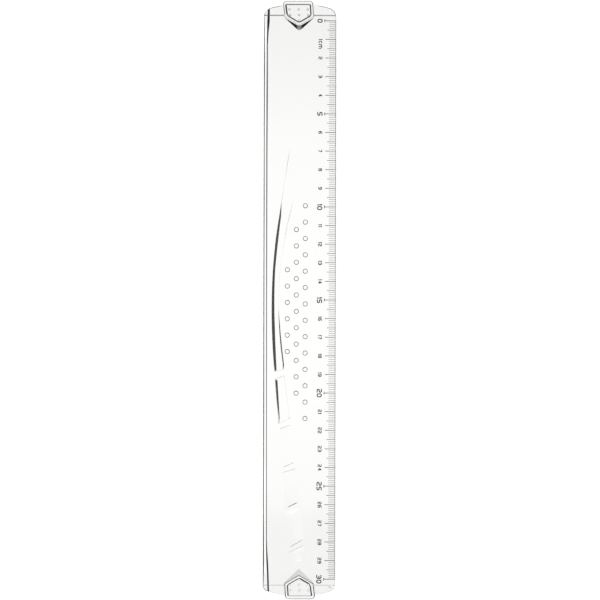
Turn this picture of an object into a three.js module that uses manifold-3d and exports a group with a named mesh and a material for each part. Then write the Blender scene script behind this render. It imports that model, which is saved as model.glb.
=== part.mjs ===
// A clear plastic 30 cm ruler, in millimetres. +X runs along the scale from 0 to 30 cm, +Y points to the
// scale edge and +Z is up. The origin is the middle of the underside, on the surface that it lies on.
import * as THREE from 'three';
import { mergeVertices } from 'three/addons/utils/BufferGeometryUtils.js';
import Module from 'manifold-3d';

const wasm = await Module();
wasm.setup();

// Scale: 30 numbered steps of one centimetre, each divided in ten
const numberedPitch = 10;
const numberedSteps = 30;
const divisionsPerStep = 10;

// Blade
const endMargin = 3.2;
const width = 38.7;
const bladeThickness = 2.6;
const scaleEdgeThickness = 1.3;
const bevelWidth = 12;

// Thin rounded lips beyond both ends of the blade
const lipReach = 5.8;
const lipThickness = 1.2;
const lipArcRadius = 60;
const lipCornerRadii = { zero: 5, thirty: 3.3 };

// Rebate under the plain edge, which keeps wet ink off it. Its wall leans more towards both ends.
const rebateWidth = 1.65;
const rebateDepth = 0.5;
const rebateLean = 0.15;
const rebateEndLean = 1.5;
const rebateFlareLength = 20;

// Finger rail: a bow-shaped wedge, high along the edge that faces the plain side, cut into six lengths
const railInset = 4.55;
const railWaist = 3.6;
const railHeight = 0.8;
const railDraft = 0.2;
const railSink = 0.4;
const railOuterMiddle = 6.3;
const railInnerMiddle = 3;
const railOuterRadius = 335;
const railInnerRadius = 200;
const railOuterSlopes = { start: 0.15, end: 0.078 };
const railInnerSlopes = { start: 0.33, end: 0.125 };

// Each length of the rail as shares of half the scale: where its outer edge and its inner edge start and end
const railLengthShares = [
  { outer: [-0.567, 0.257], inner: [-0.41, 0.249] },
  { outer: [0.283, 0.443], inner: [0.271, 0.425] },
  { outer: [0.462, 0.603], inner: [0.448, 0.58] },
  { outer: [0.618, 0.749], inner: [0.603, 0.722] },
  { outer: [0.763, 0.891], inner: [0.736, 0.855] },
  { outer: [0.905, 0.957], inner: [0.875, 0.92] },
];

// Heights of each length at its start and end, as shares of railHeight
const railHeightShares = [
  { outer: [-0.1, 1], inner: [-0.1, 0.35] },
  { outer: [1, 0.6], inner: [0.3, 0.35] },
  { outer: [0.5, 0.55], inner: [0.2, 0.5] },
  { outer: [0.3, 0.6], inner: [0.15, 0.6] },
  { outer: [0.25, 0.6], inner: [0.15, 0.6] },
  { outer: [0.25, 0.5], inner: [0.15, 0.5] },
];
const railRiseShare = 0.35;
const railStations = 24;

// Groove under the rail's outer edge, which keeps the wall there even. It has two runs.
const railGrooveDepth = 0.65;
const railGrooveRunShares = [
  [-0.345, 0.253],
  [0.287, 0.44],
];
const railGrooveStations = 10;

// Round grip studs in three columns
const studRadius = 1.25;
const studHeight = 0.35;
const studSink = 0.3;
const studPitch = 8.79;
const studLead = 50.6;
const studInset = 4.25;
const studColumnStep = 4.8;
const studColumnShift = 4;
const studColumns = [
  { count: 14, skipped: 0 },
  { count: 11, skipped: 1 },
  { count: 6, skipped: 3 },
];
const studSides = 14;

// End guards: five-sided, pointed towards the blade, each on two tongues of the blade's notch.
// They are as wide as the flat allows and reach a little over the foot of the bevel. Their outer ends
// lean to one side by the skew, and the one at zero sits nearer the plain edge by the shift.
const guardProud = 1.6;
const guardLength = 12.9;
const guardSideLength = 8.3;
const guardOverBevel = 0.45;
const guardFlare = 0.3;
const guardSkew = 0.8;
const zeroGuardShift = 0.4;
const guardThickness = 3;
const guardCornerRadius = 1.8;
const guardRim = 1.3;
const guardEndRim = 1.9;
const guardRecess = 0.5;
const guardClearance = 0.25;
const tongueDepth = 0.9;
const tongueThickness = 0.4;
const tongueLow = 0.45;
const tongueLength = 5;
const tongueRoot = 0.6;
const tongueClearance = 0.15;

// Round bumps on the floor of each guard
const bumpRadius = 0.6;
const bumpHeight = 0.25;
const bumpSideInset = 1.6;
const bumpRowPitch = 3;
const bumpFirstRow = 2.65;
const bumpSides = 8;

// Chevron groove under the blade in front of each guard's point
const chevronWidth = 2;
const chevronEndWidth = 0.4;
const chevronLand = 0.4;
const chevronDepth = 0.9;
const chevronEndDepth = 0.2;
const chevronSetback = 4.4;

// Print on the bevel
const inkThickness = 0.06;
const inkSeat = 0.02;
const edgeLineInset = 0.1;
const edgeLineWidth = 0.15;
const markLengths = { small: 3.7, middle: 4.7, large: 5.7, bold: 5.9 };
const markWidths = { small: 0.18, middle: 0.27, large: 0.32, bold: 0.34 };
const markBarLength = 1.6;
const markBarWidth = 0.35;
const boldEvery = 5;
const plainDigit = { height: 2.05, width: 1.5, stroke: 0.41, gap: 0.32, setback: 9.4 };
const boldDigit = { height: 2.8, width: 2.05, stroke: 0.53, gap: 0.4, setback: 10.05 };
const unitLetterHeight = 1.85;
const unitLetterWidths = { c: 1.45, m: 2.45 };
const unitLetterGap = 0.45;
const narrowOneShare = 0.42;
const cornerCutShare = 1.1;
const cornerLimitShare = 0.3;

const overrun = 1;
const arcSegments = 8;

// Values worked out from the sizes above
const scaleLength = numberedPitch * numberedSteps;
const halfScale = scaleLength / 2;
const halfBlade = halfScale + endMargin;
const halfBody = halfBlade + lipReach;
const lipArcCentre = halfBody - lipArcRadius;
const halfWidth = width / 2;
const bevelFoot = halfWidth - bevelWidth;
const bevelRise = bladeThickness - scaleEdgeThickness;
const bevelAngle = Math.atan2(bevelRise, bevelWidth);
const divisionPitch = numberedPitch / divisionsPerStep;
const guardEnd = halfBody + guardProud;
const guardTip = guardEnd - guardLength;
const guardShoulder = guardEnd - guardSideLength;
const guardWidth = 2 * (bevelFoot + guardOverBevel);
const bumpPitch = guardWidth / 2 - guardRim - bumpSideInset;

// Geometry helpers

function solidFrom(geometry) {
  const bare = new THREE.BufferGeometry();
  bare.setAttribute('position', geometry.getAttribute('position').clone());
  if (geometry.index) bare.setIndex(geometry.index.clone());
  const merged = mergeVertices(bare);
  return new wasm.Manifold(new wasm.Mesh({
    numProp: 3,
    vertProperties: new Float32Array(merged.getAttribute('position').array),
    triVerts: new Uint32Array(merged.index.array),
  }));
}

function geometryFrom(solid) {
  const mesh = solid.getMesh();
  const geometry = new THREE.BufferGeometry();
  geometry.setAttribute('position', new THREE.BufferAttribute(mesh.vertProperties, 3));
  geometry.setIndex(new THREE.BufferAttribute(mesh.triVerts, 1));
  geometry.computeVertexNormals();
  return geometry;
}

// An upright prism of a plan shape between two heights
function prism(shape, low, high) {
  const geometry = new THREE.ExtrudeGeometry(shape, {
    depth: high - low,
    bevelEnabled: false,
    curveSegments: arcSegments,
  });
  return geometry.translate(0, 0, low);
}

// A closed solid through rings of points with the same count, with flat ends
function loft(rings) {
  const count = rings[0].length;
  const points = rings.flat();
  const triangles = [];
  for (let ring = 0; ring < rings.length - 1; ring += 1) {
    for (let i = 0; i < count; i += 1) {
      const a = ring * count + i;
      const b = ring * count + (i + 1) % count;
      triangles.push([a, b, b + count], [a, b + count, a + count]);
    }
  }
  const last = (rings.length - 1) * count;
  for (let i = 1; i < count - 1; i += 1) {
    triangles.push([0, i + 1, i], [last, last + i, last + i + 1]);
  }
  let volume = 0;
  for (const [a, b, c] of triangles) {
    volume += points[a].dot(new THREE.Vector3().crossVectors(points[b], points[c]));
  }
  const outward = volume > 0 ? triangles : triangles.map(([a, b, c]) => [a, c, b]);
  const geometry = new THREE.BufferGeometry().setFromPoints(points);
  geometry.setIndex(outward.flat());
  return geometry;
}

function point(x, y, z) {
  return new THREE.Vector3(x, y, z);
}

function named(name, geometry, material) {
  const mesh = new THREE.Mesh(geometry, material);
  mesh.name = name;
  return mesh;
}

// Materials

function clearPlastic() {
  return new THREE.MeshStandardMaterial({
    color: 0xf3f6f6,
    roughness: 0.05,
    metalness: 0,
    transparent: true,
    opacity: 0.35,
  });
}

function frostedPlastic() {
  return new THREE.MeshStandardMaterial({
    color: 0xe9ecec,
    roughness: 0.3,
    metalness: 0,
    transparent: true,
    opacity: 0.5,
  });
}

function blackInk() {
  return new THREE.MeshStandardMaterial({ color: 0x1b1b1d, roughness: 0.6, metalness: 0 });
}

// Blade

// The centre of a rounded lip corner at the +X end, and how far round the corner turns
function lipCorner(radius) {
  const side = halfWidth - radius;
  const reach = lipArcRadius - radius;
  const x = lipArcCentre + Math.sqrt(reach ** 2 - side ** 2);
  return { radius, side, x, turn: Math.asin(side / reach) };
}

// The blade's outline with both lips: straight sides, rounded corners and a shallow arc at each end
function bodyOutline() {
  const far = lipCorner(lipCornerRadii.zero);
  const near = lipCorner(lipCornerRadii.thirty);
  const quarter = Math.PI / 2;
  const shape = new THREE.Shape();
  shape.moveTo(-far.x, -halfWidth);
  shape.lineTo(near.x, -halfWidth);
  shape.absarc(near.x, -near.side, near.radius, -quarter, -near.turn);
  shape.absarc(lipArcCentre, 0, lipArcRadius, -near.turn, near.turn);
  shape.absarc(near.x, near.side, near.radius, near.turn, quarter);
  shape.lineTo(-far.x, halfWidth);
  shape.absarc(-far.x, far.side, far.radius, quarter, Math.PI - far.turn);
  shape.absarc(-lipArcCentre, 0, lipArcRadius, Math.PI - far.turn, Math.PI + far.turn);
  shape.absarc(-far.x, -far.side, far.radius, Math.PI + far.turn, Math.PI + quarter);
  shape.closePath();
  return shape;
}

// The full-thickness blade with its scale bevel, as one section pushed along X
function bladeBar() {
  const section = new THREE.Shape([
    new THREE.Vector2(-halfWidth, 0),
    new THREE.Vector2(halfWidth, 0),
    new THREE.Vector2(halfWidth, scaleEdgeThickness),
    new THREE.Vector2(bevelFoot, bladeThickness),
    new THREE.Vector2(-halfWidth, bladeThickness),
  ]);
  const turned = new THREE.Matrix4().makeBasis(point(0, 1, 0), point(0, 0, 1), point(1, 0, 0));
  const geometry = prism(section, -halfBlade, halfBlade);
  return geometry.applyMatrix4(turned);
}

function rebateCutter() {
  const outside = -halfWidth - overrun;
  const wall = -halfWidth + rebateWidth;
  const flare = halfBody - rebateFlareLength;
  const stations = [-halfBody, -flare, flare, halfBody];
  return loft(stations.map((x) => {
    const lean = Math.abs(x) > flare ? rebateEndLean : rebateLean;
    return [
      point(x, outside, -overrun),
      point(x, wall + lean, -overrun),
      point(x, wall + lean, 0),
      point(x, wall, rebateDepth),
      point(x, outside, rebateDepth),
    ];
  }));
}

// One edge of the rail across the blade: a shallow bow that runs on as straight lines past its slopes
function bow(x, middle, side, radius, slopes) {
  const offset = x - middle;
  const near = THREE.MathUtils.clamp(offset, -slopes.start * radius, slopes.end * radius);
  const slope = near / radius;
  return side + near * slope / 2 + (offset - near) * slope;
}

function railOuterSide(x) {
  return bow(x, railOuterMiddle, -halfWidth + railInset, railOuterRadius, railOuterSlopes);
}

function railInnerSide(x) {
  const side = -halfWidth + railInset + railWaist;
  return bow(x, railInnerMiddle, side, railInnerRadius, railInnerSlopes);
}

function railBar(lengths, heights, risesFirst) {
  const base = bladeThickness - railSink;
  const rings = [];
  for (let i = 0; i <= railStations; i += 1) {
    const along = i / railStations;
    const rise = risesFirst ? Math.min(1, along / railRiseShare) : along;
    const outerX = THREE.MathUtils.lerp(...lengths.outer, along) * halfScale;
    const innerX = THREE.MathUtils.lerp(...lengths.inner, along) * halfScale;
    const outerTop = bladeThickness + THREE.MathUtils.lerp(...heights.outer, rise) * railHeight;
    const innerTop = bladeThickness + THREE.MathUtils.lerp(...heights.inner, rise) * railHeight;
    rings.push([
      point(outerX, railOuterSide(outerX) - railDraft, base),
      point(innerX, railInnerSide(innerX) + railDraft, base),
      point(innerX, railInnerSide(innerX), innerTop),
      point(outerX, railOuterSide(outerX), outerTop),
    ]);
  }
  return loft(rings);
}

function railGroove([start, end]) {
  const rings = [];
  for (let i = 0; i <= railGrooveStations; i += 1) {
    const x = THREE.MathUtils.lerp(start, end, i / railGrooveStations) * halfScale;
    const middle = railOuterSide(x) + railGrooveDepth;
    const reach = railGrooveDepth + overrun;
    rings.push([
      point(x, middle - reach, -overrun),
      point(x, middle + reach, -overrun),
      point(x, middle, railGrooveDepth),
    ]);
  }
  return loft(rings);
}

function gripStud(x, y) {
  const height = studHeight + studSink;
  const stud = new THREE.CylinderGeometry(studRadius, studRadius, height, studSides);
  stud.rotateX(Math.PI / 2);
  return stud.translate(x, y, bladeThickness - studSink + height / 2);
}

function gripStuds() {
  return studColumns.flatMap(({ count, skipped }, column) => {
    const y = bevelFoot - studInset - column * studColumnStep;
    const first = -studLead + skipped * studPitch + column * studColumnShift;
    return Array.from({ length: count }, (_, k) => gripStud(first + k * studPitch, y));
  });
}

// A guard's plan at the +X end, grown by an offset on its sides and point, up to a given end
function guardPlan(offset, end, cornerRadius) {
  const half = guardWidth / 2;
  const depth = guardShoulder - guardTip;
  const slant = Math.hypot(half, depth) / half;
  const side = half + offset;
  const endSide = side + guardFlare;
  const tip = guardTip - offset * slant;
  const shoulder = tip + side * depth / half;
  const skew = guardSkew * (end - guardShoulder) / guardSideLength;
  const low = -endSide + skew;
  const high = endSide + skew;
  const shape = new THREE.Shape();
  shape.moveTo(tip, 0);
  shape.lineTo(shoulder, -side);
  shape.lineTo(end - cornerRadius, low);
  if (cornerRadius > 0) shape.quadraticCurveTo(end, low, end, low + cornerRadius);
  shape.lineTo(end, high - cornerRadius);
  if (cornerRadius > 0) shape.quadraticCurveTo(end, high, end - cornerRadius, high);
  shape.lineTo(shoulder, side);
  shape.closePath();
  return shape;
}

function notchCutter() {
  return prism(guardPlan(guardClearance, guardEnd + overrun, 0), -overrun, bladeThickness + overrun);
}

// A bar along one side of the notch, from its root in the blade to its tip in the guard's slot
function tongue(side) {
  const inner = guardWidth / 2 - tongueDepth;
  const outer = guardWidth / 2 + guardFlare + guardClearance + tongueRoot;
  const bar = new THREE.BoxGeometry(tongueLength, outer - inner, tongueThickness);
  const x = guardShoulder + tongueClearance + tongueLength / 2;
  return bar.translate(x, side * (inner + outer) / 2, tongueLow + tongueThickness / 2);
}

function tongueSlot(side) {
  const inner = guardWidth / 2 - tongueDepth - tongueClearance;
  const outer = guardWidth / 2 + guardFlare + overrun;
  const end = guardShoulder + tongueLength + 2 * tongueClearance;
  const height = tongueThickness + 2 * tongueClearance;
  const slot = new THREE.BoxGeometry(end - guardTip, outer - inner, height);
  const z = tongueLow + tongueThickness / 2;
  return slot.translate((guardTip + end) / 2, side * (inner + outer) / 2, z);
}

// A groove in the shape of a V in plan and in section, ahead of the guard's point
function chevronGroove() {
  const tipEnd = guardTip - guardClearance - chevronLand;
  const armEnd = tipEnd + chevronSetback;
  const armSide = guardWidth / 2;
  const ring = (x, y, across, depth) => {
    const reach = (across / 2) * (1 + overrun / depth);
    const middle = x - across / 2;
    return [
      point(middle - reach, y, -overrun),
      point(middle + reach, y, -overrun),
      point(middle, y, depth),
    ];
  };
  return loft([
    ring(armEnd, -armSide, chevronEndWidth, chevronEndDepth),
    ring(tipEnd, 0, chevronWidth, chevronDepth),
    ring(armEnd, armSide, chevronEndWidth, chevronEndDepth),
  ]);
}

// The same cut or bar at both ends: the one at the +X end, and its half turn with the zero end's shift
function atBothEnds(makeGeometry) {
  return [makeGeometry(), makeGeometry().rotateZ(Math.PI).translate(0, -zeroGuardShift, 0)];
}

function rulerBlade() {
  const outline = bodyOutline();
  const clip = solidFrom(prism(outline, -overrun, bladeThickness + overrun));
  let solid = solidFrom(bladeBar()).intersect(clip);
  solid = solid.add(solidFrom(prism(outline, 0, lipThickness)));
  solid = solid.subtract(solidFrom(rebateCutter()));
  railLengthShares.forEach((lengths, i) => {
    solid = solid.add(solidFrom(railBar(lengths, railHeightShares[i], i === 0)));
  });
  gripStuds().forEach((stud) => {
    solid = solid.add(solidFrom(stud));
  });
  railGrooveRunShares.forEach((run) => {
    solid = solid.subtract(solidFrom(railGroove(run)));
  });
  [...atBothEnds(chevronGroove), ...atBothEnds(notchCutter)].forEach((cutter) => {
    solid = solid.subtract(solidFrom(cutter));
  });
  [...atBothEnds(() => tongue(1)), ...atBothEnds(() => tongue(-1))].forEach((bar) => {
    solid = solid.add(solidFrom(bar));
  });
  return geometryFrom(solid);
}

// End guards

function guardBump(x, y) {
  const floor = guardThickness - guardRecess;
  const bump = new THREE.CylinderGeometry(bumpRadius / 2, bumpRadius, 2 * bumpHeight, bumpSides);
  bump.rotateX(Math.PI / 2);
  return bump.translate(x, y, floor);
}

function guardBumps() {
  const rows = [1, 1, 0];
  return rows.flatMap((reach, row) => {
    const x = guardEnd - guardEndRim - bumpFirstRow - row * bumpRowPitch;
    const middle = guardSkew * Math.max(0, x - guardShoulder) / guardSideLength;
    return Array.from({ length: 2 * reach + 1 }, (_, i) => guardBump(x, middle + (i - reach) * bumpPitch));
  });
}

function endGuard() {
  const plan = guardPlan(0, guardEnd, guardCornerRadius);
  const inside = guardPlan(-guardRim, guardEnd - guardEndRim, guardCornerRadius / 2);
  const floor = guardThickness - guardRecess;
  let solid = solidFrom(prism(plan, 0, guardThickness));
  solid = solid.subtract(solidFrom(prism(inside, floor, guardThickness + overrun)));
  guardBumps().forEach((bump) => {
    solid = solid.add(solidFrom(bump));
  });
  solid = solid.subtract(solidFrom(tongueSlot(1))).subtract(solidFrom(tongueSlot(-1)));
  return geometryFrom(solid);
}

// Print

function markKind(i) {
  if (i % (boldEvery * divisionsPerStep) === 0) return 'bold';
  if (i % divisionsPerStep === 0) return 'large';
  return i % (divisionsPerStep / 2) === 0 ? 'middle' : 'small';
}

// All the marks as one comb, joined by the fine line along the edge. Its sides are in the bevel's plane,
// with X along the scale and Y down to the edge, where it is zero.
function scaleMarks() {
  const outer = -edgeLineInset;
  const inner = outer - edgeLineWidth;
  const count = numberedSteps * divisionsPerStep;
  const points = [];
  for (let i = 0; i <= count; i += 1) {
    const kind = markKind(i);
    const x = -halfScale + i * divisionPitch;
    const half = markWidths[kind] / 2;
    const end = -markLengths[kind];
    points.push([x - half, inner], [x - half, end]);
    if (kind === 'bold') {
      const bar = markBarLength / 2;
      points.push([x - bar, end], [x - bar, end - markBarWidth]);
      points.push([x + bar, end - markBarWidth], [x + bar, end]);
    }
    points.push([x + half, end], [x + half, inner]);
  }
  const edge = halfScale + markWidths.bold / 2;
  points.push([edge, outer], [-edge, outer]);
  const shape = new THREE.Shape(points.map(([x, y]) => new THREE.Vector2(x, y)));
  return prism(shape, 0, inkThickness);
}

// Stroke paths of each character in a unit box, with its closed loops marked
const loopPaths = {
  0: [[[0, 0], [1, 0], [1, 1], [0, 1]]],
  6: [[[0, 0], [1, 0], [1, 0.55], [0, 0.55]]],
  8: [[[0, 0], [1, 0], [1, 0.52], [0, 0.52]], [[0, 0.52], [1, 0.52], [1, 1], [0, 1]]],
  9: [[[0, 0.45], [1, 0.45], [1, 1], [0, 1]]],
};
const openPaths = {
  1: [[[1, 0], [1, 1]], [[0.1, 0.84], [0.7, 0.95]]],
  2: [[[0, 1], [1, 1], [1, 0.5], [0, 0.5], [0, 0], [1, 0]]],
  3: [[[0, 1], [1, 1], [1, 0], [0, 0]], [[0.3, 0.5], [1, 0.5]]],
  4: [[[0.75, 1], [0, 0.32], [1, 0.32]], [[0.75, 1], [0.75, 0]]],
  5: [[[1, 1], [0, 1], [0, 0.5], [1, 0.5], [1, 0], [0, 0]]],
  6: [[[0, 0.25], [0, 1], [1, 1]]],
  7: [[[0, 1], [1, 1], [0.35, 0]]],
  9: [[[1, 0.75], [1, 0], [0, 0]]],
  c: [[[1, 1], [0, 1], [0, 0], [1, 0]]],
  m: [[[0, 0], [0, 1], [0.5, 1], [0.5, 0]], [[0.35, 1], [1, 1], [1, 0]]],
};

// Cuts each corner of a path across, by a limited share of its shorter side. An open path keeps its ends.
function cutCorners(path, closed, cut) {
  return path.flatMap((corner, i) => {
    if (!closed && (i === 0 || i === path.length - 1)) return [corner];
    const before = path[(i + path.length - 1) % path.length];
    const after = path[(i + 1) % path.length];
    const shorter = Math.min(corner.distanceTo(before), corner.distanceTo(after));
    const reach = Math.min(cut, shorter * cornerLimitShare);
    return [before, after].map((other) => corner.clone().add(other.clone().sub(corner).setLength(reach)));
  });
}

// The line to one side of a path, with mitred corners
function besidePath(path, closed, distance) {
  const count = path.length;
  const square = (from, to) => {
    const way = to.clone().sub(from).normalize();
    return new THREE.Vector2(way.y, -way.x);
  };
  return path.map((p, i) => {
    const first = !closed && i === 0;
    const last = !closed && i === count - 1;
    const previous = path[(i + count - 1) % count];
    const next = path[(i + 1) % count];
    const ahead = last ? square(previous, p) : square(p, next);
    const behind = first ? square(p, next) : square(previous, p);
    const sum = ahead.clone().add(behind);
    return p.clone().add(sum.multiplyScalar(2 * distance / sum.lengthSq()));
  });
}

// A stroke of even width along a path, with square ends that run on by half the width
function strokeShape(path, closed, stroke) {
  const points = path.map((p) => p.clone());
  if (!closed) {
    const last = points.length - 1;
    const head = points[0].clone().sub(points[1]).setLength(stroke / 2);
    const tail = points[last].clone().sub(points[last - 1]).setLength(stroke / 2);
    points[0].add(head);
    points[last].add(tail);
    const right = besidePath(points, false, stroke / 2);
    const left = besidePath(points, false, -stroke / 2);
    return new THREE.Shape([...right, ...left.reverse()]);
  }
  const shape = new THREE.Shape(besidePath(points, true, stroke / 2));
  shape.holes.push(new THREE.Path(besidePath(points, true, -stroke / 2)));
  return shape;
}

// One printed character, with its lower left corner at zero
function character(glyph, glyphWidth, height, stroke) {
  const strokes = [];
  const cut = cornerCutShare * stroke;
  const place = ([x, y]) => new THREE.Vector2(
    stroke / 2 + x * (glyphWidth - stroke),
    stroke / 2 + y * (height - stroke),
  );
  [[loopPaths, true], [openPaths, false]].forEach(([paths, closed]) => {
    (paths[glyph] ?? []).forEach((path) => {
      const line = cutCorners(path.map(place), closed, cut);
      strokes.push(solidFrom(prism(strokeShape(line, closed, stroke), 0, inkThickness)));
    });
  });
  return geometryFrom(strokes.reduce((whole, next) => whole.add(next)));
}

function digitWidth(digit, style) {
  return digit === '1' ? narrowOneShare * style.width : style.width;
}

// The characters of one number, centred on its mark, as meshes in the bevel's plane
function numeral(number) {
  const style = number % boldEvery === 0 ? boldDigit : plainDigit;
  const digits = [...String(number)];
  const widths = digits.map((digit) => digitWidth(digit, style));
  const total = widths.reduce((sum, w) => sum + w, (digits.length - 1) * style.gap);
  let x = -halfScale + number * numberedPitch - total / 2;
  return digits.map((digit, i) => {
    const place = digits.length === 1 ? '' : ['_tens', '_ones'][i];
    const geometry = character(digit, widths[i], style.height, style.stroke);
    const mesh = named(`numeral_${number}${place}`, geometry, blackInk());
    mesh.position.set(x, -style.setback, 0);
    x += widths[i] + style.gap;
    return mesh;
  });
}

// The two unit letters after the number 1
function unitLetters() {
  let x = -halfScale + numberedPitch + digitWidth('1', plainDigit) / 2 + unitLetterGap;
  return Object.entries(unitLetterWidths).map(([letter, letterWidth]) => {
    const geometry = character(letter, letterWidth, unitLetterHeight, plainDigit.stroke);
    const mesh = named(`unit_letter_${letter}`, geometry, blackInk());
    mesh.position.set(x, -plainDigit.setback, 0);
    x += letterWidth + plainDigit.gap;
    return mesh;
  });
}

// Everything printed, lying on the bevel
function printedScale() {
  const print = new THREE.Group();
  print.rotation.x = -bevelAngle;
  print.position.set(
    0,
    halfWidth + inkSeat * Math.sin(bevelAngle),
    scaleEdgeThickness + inkSeat * Math.cos(bevelAngle),
  );
  print.add(named('scale_marks', scaleMarks(), blackInk()));
  for (let number = 0; number <= numberedSteps; number += 1) {
    print.add(...numeral(number));
  }
  print.add(...unitLetters());
  return print;
}

// Assembly

const ruler = new THREE.Group();
ruler.add(named('ruler_blade', rulerBlade(), clearPlastic()));

const thirtyEndGuard = named('thirty_end_guard', endGuard(), frostedPlastic());
const zeroEndGuard = named('zero_end_guard', endGuard(), frostedPlastic());
zeroEndGuard.rotation.z = Math.PI;
zeroEndGuard.position.y = -zeroGuardShift;
ruler.add(zeroEndGuard, thirtyEndGuard, printedScale());

export default ruler;
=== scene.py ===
"""Looks of the clear plastic 30 cm ruler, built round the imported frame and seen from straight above.

Sizes are in millimetres, as the ruler is measured, and meshes are made in metres. +X runs along the scale,
+Y points to the scale edge and +Z is up. Where a value differs between the ends, -1 stands for the zero end
and 1 for the 30 end.
"""

import math

import bpy
import numpy as np
from mathutils import Matrix, Vector
from mathutils.geometry import delaunay_2d_cdt, intersect_line_sphere_2d


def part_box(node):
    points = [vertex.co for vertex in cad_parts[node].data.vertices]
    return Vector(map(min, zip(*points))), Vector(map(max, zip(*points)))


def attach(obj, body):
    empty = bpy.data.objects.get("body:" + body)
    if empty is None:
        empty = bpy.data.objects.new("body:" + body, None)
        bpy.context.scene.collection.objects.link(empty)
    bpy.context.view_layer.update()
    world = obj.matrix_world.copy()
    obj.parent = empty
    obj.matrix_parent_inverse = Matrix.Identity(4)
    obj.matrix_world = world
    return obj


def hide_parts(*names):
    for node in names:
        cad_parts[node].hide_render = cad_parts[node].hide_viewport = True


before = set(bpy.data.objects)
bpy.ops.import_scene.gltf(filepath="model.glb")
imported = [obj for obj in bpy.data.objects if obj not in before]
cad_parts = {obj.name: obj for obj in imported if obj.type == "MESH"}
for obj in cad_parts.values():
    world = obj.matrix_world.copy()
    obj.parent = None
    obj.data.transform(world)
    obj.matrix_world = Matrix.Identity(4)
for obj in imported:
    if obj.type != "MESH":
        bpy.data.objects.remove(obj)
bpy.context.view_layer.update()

METRE = 1000

# Limits of the plan helpers: points handled at once, and differences that count as nothing
batch = 4000
merge_distance = 1e-5
place_tolerance = 1e-6

# Sizes read from the frame
blade_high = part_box("ruler_blade")[1] * METRE
guard_low, guard_high = (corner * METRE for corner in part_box("thirty_end_guard"))
half_width = blade_high.y
guard_tip = guard_low.x
guard_end = guard_high.x
guard_thickness = guard_high.z

# Blade: its full section ends at step_x, and the thin lips reach on to half_body
blade_thickness = 2.6
scale_edge_thickness = 1.3
bevel_width = 12
half_scale = 150
scale_margin = 3.2
lip_width = 5.8
step_x = half_scale + scale_margin
half_body = step_x + lip_width
lip_thickness = 1.2
lip_arc_radius = 60
lip_corner_radii = {-1: 5, 1: 3.3}
bevel_foot = half_width - bevel_width
bevel_slope = (blade_thickness - scale_edge_thickness) / bevel_width

# How finely the blade's outline and rounded edges are divided
lip_arc_steps = 10
lip_corner_steps = 10
notch_corner_steps = 5
blade_side_step = 4
edge_steps = 5

# Radius of the blade's top edge at the notches and elsewhere. Edges turn from the one size to the other
# between these distances from the ruler's middle line.
top_edge_radii = (0.06, 0.12)
notch_band = (9.2, 11)

# The wall between blade and lip at each end: distance inwards from step_x, and share of the wall's height
step_profiles = {
    -1: [(-0.06, 0), (0, 0.06), (0.08, 0.94), (0.14, 1)],
    1: [(-0.06, 0), (0, 0.06), (0.06, 0.94), (0.12, 1)],
}

# Slope of the underside's bevel and of every V groove's sides but the chevrons'
groove_slope = math.tan(math.radians(29))

# Fine grooves under the blade along the steps: place and half width
step_grooves = [(-152.8, 0.16), (153.4, 0.03)]

# Short fine groove under the 30 end's lip, by its scale-side corner: its points, and its half width at each
lip_groove = [(153.5, 15.1), (154.35, 16.7), (155.2, 18.2)]
lip_groove_half = [0, 0.13, 0]

# Each guard's plan, and the notch round it
guard_flare = 0.3
guard_half = -guard_low.y
guard_skew = guard_high.y - guard_half - guard_flare
guard_side_length = 8.3
zero_guard_shift = 0.4
guard_clearance = 0.25
notch_mouth_radius = 0.5
notch_inner_radius = 0.35

# Rebate under the plain edge: places along X, and the Y of its wall, the wall's lean and its depth there
rebate = [
    (-160, -17.2, 1.05, 0.65), (-149, -17.6, 1.3, 0.75), (-144.5, -17.7, 0.85, 0.52),
    (-137, -17.85, 0.55, 0.36), (-110, -17.95, 0.7, 0.44), (-80, -17.95, 0.58, 0.36),
    (-27, -17.9, 0.5, 0.31), (0, -17.87, 0.45, 0.29), (80, -17.72, 0.36, 0.23),
    (115, -17.72, 0.42, 0.27), (130, -17.72, 0.45, 0.29), (140, -17.5, 0.85, 0.5),
    (148, -17.1, 0.85, 0.5), (160, -16.75, 0.85, 0.55),
]
rebate_x, rebate_wall, rebate_lean, rebate_depth = zip(*rebate)
rebate_stations = 33

# Between the rebate and the plain edge the underside rises: its slope, and the share of that slope along X
rebate_floor_slope = math.tan(math.radians(9.2))
rebate_floor_shares = [(-152, 0), (-146, 1), (-90, 1), (-60, 0), (60, 0), (90, 1), (146, 1), (152, 0)]

# Bevel along the underside's edge: its width at the notches, and its widths along X on the scale side and
# the plain side. The plain side's widths give way to the others over a band in from the plain edge.
bottom_bevel = 0.03
bevel_rows = (0, 0.5, 1)
plain_band = (1, 4)
scale_bevels = [
    (-152, 0.24), (-145, 0.07), (-107, 0.13), (-54, 0.1), (0, 0.16), (54, 0.12), (107, 0.19), (140, 0.11),
    (152, 0.03),
]
plain_bevels = [
    (-155, 0.15), (-149.4, 0.3), (-145, 0.38), (-137, 0.45), (-123.5, 0.53), (-107, 0.5), (-80, 0.45),
    (-54, 0.5), (-27, 0.48), (0, 0.49), (27, 0.47), (54, 0.53), (80, 0.47), (107, 0.45), (129, 0.56),
    (140, 0.65), (148, 0.5), (155, 0.25),
]

# Finger rail: each of its two sides is a shallow bow
rail_inset = 4.55
rail_waist = 3.6
rail_height = 0.8
rail_outer_middle = 6.3
rail_inner_middle = 3
rail_outer_radius = 335
rail_inner_radius = 200
rail_outer_slopes = (0.15, 0.078)
rail_inner_slopes = (0.33, 0.125)

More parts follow.
